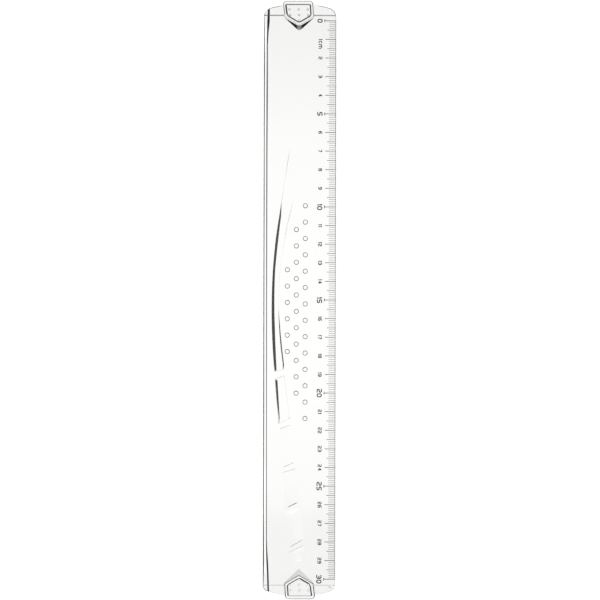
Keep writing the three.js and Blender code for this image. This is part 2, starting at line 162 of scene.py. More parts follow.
# The rail's lengths. "outer" and "inner": where each starts and ends on the two sides, as shares of half the
# scale. "outer_rise" and "inner_rise": its height at the start and the end, as shares of the rail's height.
# "rise_share": how much of the length it takes from the one to the other. "walls": the widths of its walls
# on the outer side, on the inner side, at the start and at the end. A "gentle" length's sides rise slowly.
rail_lengths = [
    {
        "outer": (-0.567, 0.257), "inner": (-0.41, 0.249),
        "outer_rise": (-0.1, 1), "inner_rise": (-0.1, 0.35),
        "rise_share": 0.35, "walls": (0.12, 0.11, 0.1, 0.08), "gentle": False,
    },
    {
        "outer": (0.283, 0.443), "inner": (0.271, 0.425),
        "outer_rise": (1, 0.6), "inner_rise": (0.3, 0.35),
        "rise_share": 1, "walls": (0.12, 0.11, 0.08, 0.08), "gentle": False,
    },
    {
        "outer": (0.462, 0.603), "inner": (0.448, 0.58),
        "outer_rise": (0.5, 0.55), "inner_rise": (0.2, 0.5),
        "rise_share": 1, "walls": (0.05, 0.05, 0.15, 0.22), "gentle": True,
    },
    {
        "outer": (0.618, 0.749), "inner": (0.603, 0.722),
        "outer_rise": (0.3, 0.6), "inner_rise": (0.15, 0.6),
        "rise_share": 1, "walls": (0.05, 0.05, 0.12, 0.45), "gentle": True,
    },
    {
        "outer": (0.763, 0.891), "inner": (0.736, 0.855),
        "outer_rise": (0.25, 0.6), "inner_rise": (0.15, 0.6),
        "rise_share": 1, "walls": (0.05, 0.05, 2, 0.28), "gentle": True,
    },
    {
        "outer": (0.905, 0.957), "inner": (0.875, 0.92),
        "outer_rise": (0.25, 0.5), "inner_rise": (0.15, 0.5),
        "rise_share": 1, "walls": (0.05, 0.05, 0.1, 0.03), "gentle": True,
    },
]
rail_gentle_slope = math.tan(math.radians(5.5))
rail_wall_profile = [(0, 0), (0.12, 0.1), (0.88, 0.9), (1, 1)]

# How finely a length of the rail is divided: along it, across it between its sides, and along its end walls
rail_stations = 30
rail_rows = (0.25, 0.5, 0.75)
rail_end_points = 17

# Grooves under the rail's two sides: places as shares of half the scale, the width there, and a shift across
# the ruler. A groove's middle also lies inwards of the side by its lean times its width.
outer_groove_runs = [
    [
        (-0.35, 0, -0.1), (-0.304, 0.86, -0.11), (-0.215, 1.24, -0.24), (-0.107, 1.06, -0.24),
        (0, 1.28, -0.15), (0.107, 1.48, -0.1), (0.18, 1.38, -0.06), (0.251, 1.15, -0.1), (0.257, 0, -0.1),
    ],
    [(0.285, 0, -0.1), (0.29, 1.2, -0.1), (0.36, 1.02, -0.05), (0.42, 0.5, 0.35), (0.443, 0, 0.35)],
]
inner_groove_runs = [[(0.03, 0, 0), (0.09, 0.7, 0), (0.15, 0.9, 0), (0.235, 0.8, 0), (0.247, 0, 0)]]
outer_groove_lean = 0.5
inner_groove_lean = 0.2
groove_stations = 60

# Grip studs, in columns from the scale side: how many studs each has, and how many places it skips first.
# The profile gives the share of the radius and of the height, from the foot to the top.
stud_radius = 1.25
stud_height = 0.35
stud_pitch = 8.79
stud_lead = 50.6
stud_inset = 4.25
stud_column_step = 4.8
stud_column_shift = 4
stud_columns = [(14, 0), (11, 1), (6, 3)]
stud_steps = 40
stud_profile = [(1.1, 0), (1.04, 0.06), (0.82, 0.93), (0.74, 1)]

# Chevron groove in front of each guard: its gap from the notch, its width at the point, its ridge's place in
# that width, how blunt its point is, and its depths at shares of the way along each arm
chevron_shares = (0, 0.16, 0.4, 1)
chevrons = {
    -1: {"land": 0.4, "width": 2.65, "ridge": 0.42, "blunt": 0.45, "depths": (0.38, 0.37, 0.32, 0)},
    1: {"land": 0.05, "width": 2.8, "ridge": 0.4, "blunt": 0, "depths": (0.262, 0.22, 0.157, 0)},
}

# Guards
guard_end_rim = 1.9
guard_recess = 0.5
guard_corner_radius = 1.8
guard_tip_radius = 1.2
guard_shoulder_radius = 0.8
guard_bottom_radius = 0.15
guard_outline_steps = 8
guard_side_step = 1

# The recess's walls: how far inside the guard's outline each starts, and its width. The sides run
# anticlockwise from the point: lower slope, lower side, end, upper side, upper slope.
recess_walls = {
    -1: [(0.75, 0.85), (1.12, 0.74), (1.7, 0.44), (0.9, 0.95), (0.75, 0.75)],
    1: [(1.25, 0.6), (1.3, 0.68), (1.56, 0.27), (1.4, 0.8), (0.85, 1)],
}
recess_wall_profile = [(0, 0), (0.1, 0.05), (0.9, 0.95), (1, 1)]

# The walls meet in rounded corners, whose centres lie this many wall widths in
recess_wall_round = 1.5
recess_corner_steps = 6

# Radius of the guards' upper edges along the slopes, the sides and the end. The first turns into the second
# between these distances along X from the shoulder.
guard_edge_radii = {-1: (0.1, 0.55, 0.4), 1: (0.5, 0.7, 0.35)}
shoulder_band = (-0.5, 1)

# Bumps in the recess: how many lie either side of the middle one in each row from the end
bump_rows = (1, 1, 0)
bump_radius = 0.6
bump_heights = {-1: 0.2, 1: 0.1}
bump_pitch = 4.9
bump_row_pitch = 3
bump_first_row = 2.65
bump_steps = 16
bump_profile = [(1, 0), (0.85, 0.6), (0.6, 0.9), (0.3, 1)]

# Clear plastic: a faint flow pattern gives its ripple and roughness, and its shadow is only a tint. Depths
# and the sizes of the stage below are in metres.
plastic_ior = 1.59
plastic_shadow = 0.99
flow_range = (0.3, 0.8)
blade_look = {
    "tint": (0.997, 0.993, 0.984), "roughness": (0, 0.004),
    "grain": {"scale": 90, "detail": 3, "strength": 0.04, "depth": 0.0001},
}
guard_look = {
    "tint": (0.992, 0.989, 0.98), "roughness": (0.02, 0.08),
    "grain": {"scale": 90, "detail": 3, "strength": 0.1, "depth": 0.0001},
}

# Printing ink: its tones at two places of the mottle
ink_tones = [(0.3, (0.002, 0.002, 0.0025)), (0.75, (0.008, 0.008, 0.009))]
ink_roughness = 0.3
ink_grain = {"scale": 2500, "detail": 4, "strength": 0.3, "depth": 0.00001}

# Floor
floor_size = 12
floor_z = -0.0002
paper_tone = 0.8
floor_glow = 0.4

# Panel overhead: its brightness against the place on the ruler, in millimetres, where the camera sees it
# reflected
panel_size = 1.6
panel_height = 1.2
panel_span = 0.3
panel_strength = 1.05
panel_levels = [
    (-146, 0), (-128, 0.24), (-107, 0.45), (-88, 0.74), (-66, 0.84), (-45, 0.92), (-20, 1), (54, 1),
    (66, 0.93), (84, 0.83), (102, 0.74), (110, 0.6), (118, 0.24), (124, 0.16), (142, 0.15), (150, 0),
]

# Key light: its strength, and in degrees its spread and its tilt about X and Y
key_strength = 2
key_spread = 60
key_tilt = (15, -12)

# What the clear plastic sees around it, by the angle up from straight below: a light table, a dark ring
# beside it that draws the edges, white further out, and dim walls above the floor. All else gets the plain
# level.
field_levels = [
    (0, 1), (5.2, 1), (5.6, 1.12), (7, 1.12), (8, 0.9), (14, 0.02), (50, 0.02), (58, 1), (90, 1), (91, 0.2),
    (140, 0.2), (150, 1), (180, 1),
]
plain_level = 0.4

# Camera: the photograph's frame, with the far limit of its view in metres
frame_pixels = 600
pixels_per_mm = 1.861
origin_pixel = (299.43, 299.95)
axis_lean = 0.0021875
camera_distance = 3000
camera_reach = 100
sensor_width = 36


# Plan helpers

def turned(points, end):
    """The points as they are at the +X end, or after half a turn at the other."""
    return [(end * x, end * y) for x, y in points]


def arc(centre, radius, start, end, steps):
    angles = np.radians(np.linspace(start, end, steps + 1))
    return [(centre[0] + radius * math.cos(a), centre[1] + radius * math.sin(a)) for a in angles]


def rounded(points, radii, steps):
    """The closed polygon with an arc at each corner that has a radius."""
    made = []
    count = len(points)
    for i, radius in enumerate(radii):
        here = Vector(points[i])
        before = Vector(points[i - 1]) - here
        after = Vector(points[(i + 1) % count]) - here
        if radius == 0:
            made.append(tuple(here))
            continue
        half_angle = before.angle(after) / 2
        reach = radius / math.tan(half_angle)
        way_in = (before.normalized() + after.normalized()).normalized()
        centre = here + way_in * radius / math.sin(half_angle)
        first = here + before.normalized() * reach - centre
        last = here + after.normalized() * reach - centre
        turn = first.angle_signed(last)
        for k in range(steps + 1):
            made.append(tuple(centre + Matrix.Rotation(-turn * k / steps, 2) @ first))
    return made


def divided(outline, step):
    """The closed outline with more points along its long sides."""
    made = []
    for here, after in zip(outline, outline[1:] + outline[:1]):
        count = max(1, round(math.dist(here, after) / step))
        made += [tuple(Vector(here).lerp(Vector(after), k / count)) for k in range(count)]
    return made


def offset(loop, distance):
    """The closed loop, anticlockwise, moved inwards by a distance or one distance a point."""
    points = np.array(loop, float)
    ways = np.roll(points, -1, axis=0) - points
    ways /= np.linalg.norm(ways, axis=1)[:, None]
    ahead = np.stack([-ways[:, 1], ways[:, 0]], axis=1)
    behind = np.roll(ahead, 1, axis=0)
    mitre = (ahead + behind) / (1 + (ahead * behind).sum(axis=1))[:, None]
    return points + mitre * np.reshape(distance, (-1, 1))


def distance_to(loop, points):
    """The distance of each point from a closed loop, and where along the loop it is nearest."""
    start = np.array(loop, float)
    way = np.roll(start, -1, axis=0) - start
    nearest = np.empty(len(points))
    place = np.empty(len(points))
    for low in range(0, len(points), batch):
        part = np.array(points[low:low + batch], float)
        gap = part[:, None, :] - start[None]
        along = np.clip((gap * way).sum(axis=2) / (way * way).sum(axis=1), 0, 1)
        far = np.linalg.norm(gap - along[..., None] * way, axis=2)
        best = far.argmin(axis=1)
        rows = np.arange(len(part))
        nearest[low:low + batch] = far[rows, best]
        place[low:low + batch] = best + along[rows, best]
    return nearest, place


def inside(loop, points):
    """Whether each point lies inside a closed loop."""
    start = np.array(loop, float)
    end = np.roll(start, -1, axis=0)
    found = np.zeros(len(points), bool)
    for low in range(0, len(points), batch):
        part = np.array(points[low:low + batch], float)
        x, y = part[:, :1], part[:, 1:]
        crosses = (start[:, 1] > y) != (end[:, 1] > y)
        with np.errstate(divide="ignore", invalid="ignore"):
            at = start[:, 0] + (y - start[:, 1]) * (end[:, 0] - start[:, 0]) / (end[:, 1] - start[:, 1])
        found[low:low + batch] = (crosses & (x < at)).sum(axis=1) % 2 == 1
    return found


class Plan:
    """Points and lines seen from above, for one side of a moulding.

    A point without a height gets it later.
    """

    def __init__(self):
        self.points = []
        self.heights = []
        self.edges = []

    def line(self, points, heights=None, closed=False):
        first = len(self.points)
        count = len(points)
        self.points.extend((float(x), float(y)) for x, y in points)
        self.heights.extend([math.nan] * count if heights is None else [float(z) for z in heights])
        self.edges.extend((first + i, first + i + 1) for i in range(count - 1))
        if closed:
            self.edges.append((first + count - 1, first))

    def surface(self, outline, height):
        """The plan as triangles inside the outline: points, triangles, and the rim with its places."""
        found = delaunay_2d_cdt([Vector(p) for p in self.points], self.edges, [], 0, merge_distance)
        plane = np.array([tuple(v) for v in found[0]], float)
        triangles = np.array(found[2])
        triangles = triangles[inside(outline, plane[triangles].mean(axis=1))]
        z = height(plane)
        for i, sources in enumerate(found[3]):
            given = [self.heights[s] for s in sources if not math.isnan(self.heights[s])]
            if given:
                z[i] = given[0]
        sides = np.concatenate([triangles[:, [0, 1]], triangles[:, [1, 2]], triangles[:, [2, 0]]])
        seen, times = np.unique(np.sort(sides, axis=1), axis=0, return_counts=True)
        rim = np.unique(seen[times == 1])
        place = distance_to(outline, plane[rim])[1] % len(outline)
        place[place > len(outline) - place_tolerance] = 0
        order = np.argsort(place)
        return np.column_stack([plane, z]), triangles, rim[order], place[order]


def moulding(name, outline, top, top_height, bottom, bottom_height):
    """A closed mesh object between a top and a bottom surface that share one outline."""
    upper, upper_faces, upper_rim, upper_place = top.surface(outline, top_height)
    lower, lower_faces, lower_rim, lower_place = bottom.surface(outline, bottom_height)
    points = np.concatenate([upper, lower])
    faces = [tuple(map(int, f)) for f in upper_faces]
    shift = len(upper)
    faces += [tuple(int(v) + shift for v in reversed(f)) for f in lower_faces]

    # The wall: triangles between the two rims, in the order of their places along the outline
    span = len(outline)
    above = [*upper_rim, upper_rim[0]]
    below = [v + shift for v in (*lower_rim, lower_rim[0])]
    above_place = [*upper_place, upper_place[0] + span]
    below_place = [*lower_place, lower_place[0] + span]
    i = j = 0
    while i < len(above) - 1 or j < len(below) - 1:
        if j == len(below) - 1 or (i < len(above) - 1 and above_place[i + 1] <= below_place[j + 1]):
            faces.append((int(below[j]), int(above[i + 1]), int(above[i])))
            i += 1
        else:
            faces.append((int(below[j]), int(below[j + 1]), int(above[i])))
            j += 1

    # Points that no face uses are left out
    used, numbers = np.unique(np.array(faces), return_inverse=True)
    mesh = bpy.data.meshes.new(name)
    mesh.from_pydata((points[used] / METRE).tolist(), [], numbers.reshape(-1, 3).tolist())
    made = bpy.data.objects.new(name, mesh)
    bpy.context.scene.collection.objects.link(made)
    return made


def edge_drop(distance, radius):
    """How far a rounded edge lies below its flat at a distance in from the wall."""
    inward = np.clip(radius - distance, 0, radius)
    return radius - np.sqrt(radius ** 2 - inward ** 2)


def add_edge(plan, outline, radius):
    """Lines along a rounded edge."""
    for angle in np.linspace(0, math.pi / 2, edge_steps + 1):
        plan.line(offset(outline, radius * (1 - math.cos(angle))), closed=True)


# Blade

def guard_corners(grow, end, shift=0):
    """A guard's plan at the +X end, anticlockwise from its point, grown by an amount up to a given end."""
    shoulder_x = guard_end - guard_side_length
    depth = shoulder_x - guard_tip
    side = guard_half + grow
    tip = guard_tip - grow * math.hypot(guard_half, depth) / guard_half
    shoulder = tip + side * depth / guard_half
    skew = guard_skew * (end - shoulder_x) / guard_side_length
    lower_end = skew - side - guard_flare
    upper_end = skew + side + guard_flare
    corners = [(tip, 0), (shoulder, -side), (end, lower_end), (end, upper_end), (shoulder, side)]
    return [(x, y + shift) for x, y in corners]


def end_path(shift, corner_radius):
    """The blade's outline round its +X end, from the plain side to the scale side, and its corner radii."""
    arc_centre = Vector((half_body - lip_arc_radius, 0))
    corner_side = half_width - corner_radius
    reach = lip_arc_radius - corner_radius
    corner_centre = arc_centre.x + math.sqrt(reach ** 2 - corner_side ** 2)
    turn = math.degrees(math.asin(corner_side / reach))
    tip, lower, lower_end, upper_end, upper = guard_corners(guard_clearance, guard_end, shift)
    mouths = [
        intersect_line_sphere_2d(Vector(a), Vector(b), arc_centre, lip_arc_radius)[0]
        for a, b in ((lower, lower_end), (upper, upper_end))
    ]
    stops = [math.degrees(math.atan2(mouth.y, mouth.x - arc_centre.x)) for mouth in mouths]
    quarter = 90
    path = arc((corner_centre, -corner_side), corner_radius, -quarter, -turn, lip_corner_steps)
    path += arc(arc_centre, lip_arc_radius, -turn, stops[0], lip_arc_steps)[1:]
    before = [0] * (len(path) - 1)
    path += [lower, tip, upper]
    path += arc(arc_centre, lip_arc_radius, stops[1], turn, lip_arc_steps)
    path += arc((corner_centre, corner_side), corner_radius, turn, quarter, lip_corner_steps)[1:]
    notch = [notch_mouth_radius, *[notch_inner_radius] * 3, notch_mouth_radius]
    return path, before + notch + [0] * (len(path) - len(before) - len(notch))


def blade_outline():
    """The blade's outline, anticlockwise, with its lips and both notches."""
    near, near_radii = end_path(0, lip_corner_radii[1])
    far, far_radii = end_path(zero_guard_shift, lip_corner_radii[-1])
    outline = rounded(near + turned(far, -1), near_radii + far_radii, notch_corner_steps)
    return divided(outline, blade_side_step)


def notch_share(points):
    """How much of an edge's full radius is left near the notches, where the edges are sharp."""
    return np.interp(np.abs(points[:, 1]), notch_band, (0, 1))


def top_radius(points):
    """The radius of the blade's top edge."""
    least, full = top_edge_radii
    return least + (full - least) * notch_share(points)


def bottom_bevels(points):
    """The width of the bevel along the underside's edge."""
    x, y = points[:, 0], points[:, 1]
    scale = np.interp(x, *zip(*scale_bevels))
    plain = np.interp(x, *zip(*plain_bevels))
    share = np.interp(y, [inward - half_width for inward in plain_band], (1, 0))
    return bottom_bevel + (scale + (plain - scale) * share - bottom_bevel) * notch_share(points)


def blade_surface_height(points):
    """The top of the blade without its studs and rail: blade, bevel, and the lips past the end walls."""
    x, y = points[:, 0], points[:, 1]
    main = np.minimum(blade_thickness, scale_edge_thickness + (half_width - y) * bevel_slope)
    share = np.ones(len(points))
    for side, profile in step_profiles.items():
        inward = step_x - side * x
        share = np.minimum(share, np.interp(inward, *zip(*profile)))
    return lip_thickness + (main - lip_thickness) * share


def blade_top_height(outline):
    """The blade's top, as a function that gives the height at each point."""
    def height(points):
        z = blade_surface_height(points) - edge_drop(distance_to(outline, points)[0], top_radius(points))
        for length in rail_lengths:
            z = z + rail_top_height(points, length)
        return z + stud_height * round_rise(points, stud_places(), stud_radius, stud_profile)
    return height


def rebate_rows(x):
    """Where the rebate's wall turns across the ruler, and its heights there."""
    wall, lean, depth = (np.interp(x, rebate_x, row) for row in (rebate_wall, rebate_lean, rebate_depth))
    return [wall, wall + lean], [depth, 0 * depth]


def blade_bottom_height(outline):
    """The blade's underside without its rail grooves and chevrons, as such a function."""
    def height(points):
        x, y = points[:, 0], points[:, 1]
        (wall, foot), (depth, _) = rebate_rows(x)
        z = depth * np.clip((foot - y) / (foot - wall), 0, 1)
        z = z + np.clip(wall - y, 0, None) * rebate_floor_slope * np.interp(x, *zip(*rebate_floor_shares))
        for middle, half in step_grooves:
            z = z + np.clip(half - np.abs(x - middle), 0, None) * groove_slope
        inward = distance_to(outline, points)[0]
        return z + np.clip(bottom_bevels(points) - inward, 0, None) * groove_slope
    return height


def bow(x, middle, side, radius, slopes):
    """A parabola with its foot at the middle, straight on where it has reached either slope."""
    away = x - middle
    near = np.clip(away, -slopes[0] * radius, slopes[1] * radius)
    slope = near / radius
    return side + near * slope / 2 + (away - near) * slope


def rail_outer_side(x):
    return bow(x, rail_outer_middle, rail_inset - half_width, rail_outer_radius, rail_outer_slopes)


def rail_inner_side(x):
    side = rail_inset + rail_waist - half_width
    return bow(x, rail_inner_middle, side, rail_inner_radius, rail_inner_slopes)


def rail_line(side, ends, moved):
    """A line along one side of a length of the rail, moved across the ruler."""
    x = np.linspace(ends[0], ends[1], rail_stations + 1) * half_scale
    return np.column_stack([x, side(x) + moved])


def add_rail(plan, length):
    """Lines along one length of the rail: its sides, the turns of its walls, and rows between."""
    walls = length["walls"]
    outer = rail_line(rail_outer_side, length["outer"], 0)
    inner = rail_line(rail_inner_side, length["inner"], 0)
    across = np.linspace(0, 1, rail_end_points)[:, None]
    plan.line(np.concatenate([outer, inner[::-1]]), closed=True)
    for share, _ in rail_wall_profile[1:]:
        plan.line(rail_line(rail_outer_side, length["outer"], share * walls[0])[1:-1])
        plan.line(rail_line(rail_inner_side, length["inner"], -share * walls[1])[1:-1])
        for end, moved in ((0, share * walls[2]), (-1, -share * walls[3])):
            plan.line(outer[end] + (moved, 0) + (inner[end] - outer[end]) * across)
    for row in rail_rows:
        plan.line((outer + (inner - outer) * row)[1:-1])


def rail_top_height(points, length):
    """How high one length of the rail stands at each point."""
    x, y = points[:, 0], points[:, 1]
    low, high = rail_outer_side(x), rail_inner_side(x)
    across = (y - low) / (high - low)
    ends = zip(length["outer"], length["inner"])
    start, end = ((first + across * (last - first)) * half_scale for first, last in ends)
    along = (x - start) / (end - start)
    rise = np.clip(along / length["rise_share"], 0, 1)
    outer, inner = (np.interp(rise, (0, 1), length[side + "_rise"]) for side in ("outer", "inner"))
    tall = np.clip(outer + (inner - outer) * across, 0, None) * rail_height
    share = np.ones(len(points))
    for inward, wall in zip((y - low, high - y, x - start, end - x), length["walls"]):
        share = np.minimum(share, np.interp(inward / wall, *zip(*rail_wall_profile)))
    tall = tall * share
    if length["gentle"]:
        tall = np.minimum(tall, np.minimum(y - low, high - y) * rail_gentle_slope)
    return np.where((across < 0) | (across > 1), 0, tall)


def stud_places():
    """The middle of each stud."""
    for column, (count, skipped) in enumerate(stud_columns):
        y = bevel_foot - stud_inset - column * stud_column_step
        first = -stud_lead + skipped * stud_pitch + column * stud_column_shift
        for k in range(count):
            yield first + k * stud_pitch, y


def add_round(plan, centre, radius, profile, steps):
    """Lines round a stud or bump."""
    for share, _ in profile:
        plan.line(arc(centre, radius * share, 0, 360, steps)[:-1], closed=True)
    plan.line([centre])


def round_rise(points, centres, radius, profile):
    """How far up its profile a stud or bump is at each point."""
    rise = np.zeros(len(points))
    for centre in centres:
        reach = np.linalg.norm(points - centre, axis=1) / radius
        rise = np.maximum(rise, np.interp(reach, *zip(*reversed(profile))))
    return rise


def add_groove(plan, middle, half):
    """A V groove under the blade along a line, with its half width at each point."""
    way = np.gradient(middle, axis=0)
    way /= np.linalg.norm(way, axis=1)[:, None]
    square = np.column_stack([-way[:, 1], way[:, 0]]) * half[:, None]
    left = middle + square
    right = middle - square
    inner = slice(1, -1)
    border = np.concatenate([middle[:1], right[inner], middle[-1:], left[inner][::-1]])
    plan.line(border, [0] * len(border), closed=True)
    plan.line(middle, half * groove_slope)


def add_rail_grooves(plan, runs, side, lean):
    """The grooves under one side of the rail."""
    for run in runs:
        places, widths, shifts = zip(*run)
        share = np.linspace(places[0], places[-1], groove_stations + 1)
        share = np.unique(np.concatenate([share, places]))
        x = share * half_scale
        width = np.interp(share, places, widths)
        middle = np.column_stack([x, side(x) + width * lean + np.interp(share, places, shifts)])
        add_groove(plan, middle, width / 2)


def add_chevron(plan, end, shift):
    """The chevron groove in front of one guard: its ridge between its two borders."""
    tip, shoulder = guard_corners(guard_clearance, guard_end)[:2]
    chevron = chevrons[end]
    inner = tip[0] - chevron["land"]
    outer = inner - chevron["width"]
    ridge = outer + chevron["ridge"] * chevron["width"]
    arm = (shoulder[0] - chevron["land"], -shoulder[1])
    for x, is_ridge in ((inner, False), (ridge, True), (outer, False)):
        half = [(x + (arm[0] - x) * share, arm[1] * share) for share in chevron_shares]
        half[0] = (x + chevron["blunt"], 0)
        depths = [depth * is_ridge for depth in chevron["depths"]]
        path = [(px, -py) for px, py in reversed(half[1:])] + half
        heights = depths[:0:-1] + depths
        plan.line([(px, py + shift) for px, py in turned(path, end)], heights)


def ruler_blade():
    outline = blade_outline()
    rim = np.array(outline)
    past_side = 2 * half_width
    past_end = 2 * half_body

    top = Plan()
    add_edge(top, outline, top_radius(rim))
    for side, profile in step_profiles.items():
        for inward, _ in profile:
            x = side * (step_x - inward)
            top.line([(x, -past_side), (x, past_side)])
    top.line([(-past_end, bevel_foot), (past_end, bevel_foot)])
    for length in rail_lengths:
        add_rail(top, length)
    for centre in stud_places():
        add_round(top, centre, stud_radius, stud_profile, stud_steps)

    bottom = Plan()
    for share in bevel_rows:
        bottom.line(offset(outline, share * bottom_bevels(rim)), closed=True)
    turns = [x for x, _ in rebate_floor_shares]
    between = np.linspace(rebate_x[0], rebate_x[-1], rebate_stations)
    stations = np.array(sorted({*rebate_x, *turns, *between}))
    for row in rebate_rows(stations)[0]:
        bottom.line(np.column_stack([stations, row]))
    for middle, half in step_grooves:
        for x in (middle - half, middle, middle + half):
            bottom.line([(x, -past_side), (x, past_side)])
    add_rail_grooves(bottom, outer_groove_runs, rail_outer_side, outer_groove_lean)
    add_rail_grooves(bottom, inner_groove_runs, rail_inner_side, inner_groove_lean)
    add_groove(bottom, np.array(lip_groove), np.array(lip_groove_half))
    add_chevron(bottom, 1, 0)
    add_chevron(bottom, -1, -zero_guard_shift)
    return moulding(
        "clear_blade", outline, top, blade_top_height(outline), bottom, blade_bottom_height(outline)
    )


# Guards

def guard_bumps():
    """The middle of each bump in a guard's recess, at the +X end."""
    for row, reach in enumerate(bump_rows):
        x = guard_end - guard_end_rim - bump_first_row - row * bump_row_pitch
        middle = guard_skew * max(0, x - guard_end + guard_side_length) / guard_side_length
        for i in range(-reach, reach + 1):
            yield x, middle + i * bump_pitch


def side_lines(corners):
    """For each side of a convex outline, anticlockwise: a point on it and the way square to it, inwards."""
    corners = np.array(corners)
    ways = np.roll(corners, -1, axis=0) - corners
    ways /= np.linalg.norm(ways, axis=1)[:, None]
    return list(zip(corners, np.column_stack([-ways[:, 1], ways[:, 0]])))


def recess_line(sides, walls, share):
    """The line round the recess's wall at one share of its width, rounded at the corners."""
    points = []
    for i in range(len(sides)):
        pair = (i - 1, i)
        square = np.array([sides[k][1] for k in pair])
        for angle in np.linspace(0, math.pi / 2, recess_corner_steps + 1):
            turn = np.array([math.cos(angle), math.sin(angle)])
            shares = recess_wall_round - (recess_wall_round - share) * turn
            inward = [walls[k][0] + walls[k][1] * s for k, s in zip(pair, shares)]
            level = [square[j] @ sides[k][0] + inward[j] for j, k in enumerate(pair)]
            points.append(np.linalg.solve(square, level))
    return points


def recess_share(points, sides, walls):
    """How much of the recess's depth is reached at each point."""
    short = np.zeros(len(points))
    for (corner, square), (start, width) in zip(sides, walls):
        share = ((points - corner) @ square - start) / width
        short = short + np.clip(recess_wall_round - share, 0, None) ** 2
    return np.interp(recess_wall_round - np.sqrt(short), *zip(*recess_wall_profile))


def end_guard(name, end, shift):
    """The guard at one end, with its recess and bumps on top and rounded edges."""
    walls = recess_walls[end]
    corners = guard_corners(0, guard_end)
    sides = side_lines(corners)
    radii = [guard_tip_radius, guard_shoulder_radius, *[guard_corner_radius] * 2, guard_shoulder_radius]
    outline = turned(divided(rounded(corners, radii, guard_outline_steps), guard_side_step), end)
    slope, side, rear = guard_edge_radii[end]
    shoulder_x = corners[1][0]

    def edge_radius(points):
        shoulder = [shoulder_x + reach for reach in shoulder_band]
        turns = (*shoulder, guard_end - guard_corner_radius, guard_end)
        return np.interp(points[:, 0] * end, turns, (slope, side, side, rear))

    top = Plan()
    add_edge(top, outline, edge_radius(np.array(outline)))
    for share, _ in recess_wall_profile:
        top.line(turned(recess_line(sides, walls, share), end), closed=True)
    for centre in guard_bumps():
        add_round(top, turned([centre], end)[0], bump_radius, bump_profile, bump_steps)
    bottom = Plan()
    add_edge(bottom, outline, guard_bottom_radius)

    def top_height(points):
        recess = guard_recess * recess_share(points * end, sides, walls)
        bump = bump_heights[end] * round_rise(points * end, guard_bumps(), bump_radius, bump_profile)
        level = np.maximum(guard_thickness - recess, guard_thickness - guard_recess + bump)
        return level - edge_drop(distance_to(outline, points)[0], edge_radius(points))

    def bottom_height(points):
        return edge_drop(distance_to(outline, points)[0], guard_bottom_radius)

    made = moulding(name, outline, top, top_height, bottom, bottom_height)
    made.location.y = shift / METRE
    return made


# Materials

def material(name):
    made = bpy.data.materials.new(name)
    made.use_nodes = True
    nodes = made.node_tree.nodes
    return made, nodes, made.node_tree.links, nodes["Principled BSDF"], nodes["Material Output"]


def add_grain(nodes, links, shader, grain):
    """A bump on the shader from noise fixed to the piece. Returns the noise's own output."""
    place = nodes.new("ShaderNodeTexCoord")
    noise = nodes.new("ShaderNodeTexNoise")
    noise.inputs["Scale"].default_value = grain["scale"]
    noise.inputs["Detail"].default_value = grain["detail"]
    links.new(place.outputs["Object"], noise.inputs["Vector"])
    bump = nodes.new("ShaderNodeBump")
    bump.inputs["Strength"].default_value = grain["strength"]
    bump.inputs["Distance"].default_value = grain["depth"]
    links.new(noise.outputs["Fac"], bump.inputs["Height"])
    links.new(bump.outputs["Normal"], shader.inputs["Normal"])
    return noise.outputs["Fac"]


def mixed(nodes, links, share, first, second):
    """Two shaders, the second by its share."""
    made = nodes.new("ShaderNodeMixShader")
    for socket, source in zip(made.inputs, (share, first, second)):
        links.new(source, socket)
    return made.outputs["Shader"]


def math_node(nodes, links, operation, a, b=0):
    made = nodes.new("ShaderNodeMath")
    made.operation = operation
    for socket, value in zip(made.inputs, (a, b)):
        if isinstance(value, (int, float)):
            socket.default_value = value
        else:
            links.new(value, socket)
    return made.outputs["Value"]


def ramp_node(nodes, stops):
    """A colour ramp through a colour at each place."""
    made = nodes.new("ShaderNodeValToRGB")
    elements = made.color_ramp.elements
    while len(elements) < len(stops):
        elements.new(0.5)
    for element, (place, tone) in zip(elements, stops):
        element.position = place
        element.color = (*tone, 1)
    return made


def grey(stops):
    return [(place, (level, level, level)) for place, level in stops]


def clear_plastic(name, look):
    """Clear plastic. Its shadow is only a tint, as light passes through it."""
    made, nodes, links, shader, output = material(name)
    shader.inputs["Base Color"].default_value = (*look["tint"], 1)
    shader.inputs["Transmission Weight"].default_value = 1
    shader.inputs["IOR"].default_value = plastic_ior
    flow = add_grain(nodes, links, shader, look["grain"])
    wear = nodes.new("ShaderNodeMapRange")
    ranges = zip(("From Min", "From Max", "To Min", "To Max"), (*flow_range, *look["roughness"]))
    for socket, value in ranges:
        wear.inputs[socket].default_value = value
    links.new(flow, wear.inputs["Value"])
    links.new(wear.outputs["Result"], shader.inputs["Roughness"])
    shade = nodes.new("ShaderNodeBsdfTransparent")
    shade.inputs["Color"].default_value = (plastic_shadow, plastic_shadow, plastic_shadow, 1)
    path = nodes.new("ShaderNodeLightPath")
    shadow = path.outputs["Is Shadow Ray"]
    surface = mixed(nodes, links, shadow, shader.outputs["BSDF"], shade.outputs["BSDF"])
    links.new(surface, output.inputs["Surface"])
    return made


def printing_ink():
    """Black ink with a fine mottle."""
    made, nodes, links, shader, _ = material("printing_ink")
    mottle = add_grain(nodes, links, shader, ink_grain)
    tone = ramp_node(nodes, ink_tones)
    links.new(mottle, tone.inputs["Fac"])
    links.new(tone.outputs["Color"], shader.inputs["Base Color"])
    shader.inputs["Roughness"].default_value = ink_roughness
    return made


# Pieces

plastic = clear_plastic("clear_plastic", blade_look)
guard_plastic = clear_plastic("guard_plastic", guard_look)
ink = printing_ink()

blade = ruler_blade()
blade.data.materials.append(plastic)
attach(blade, "root")
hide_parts("ruler_blade")

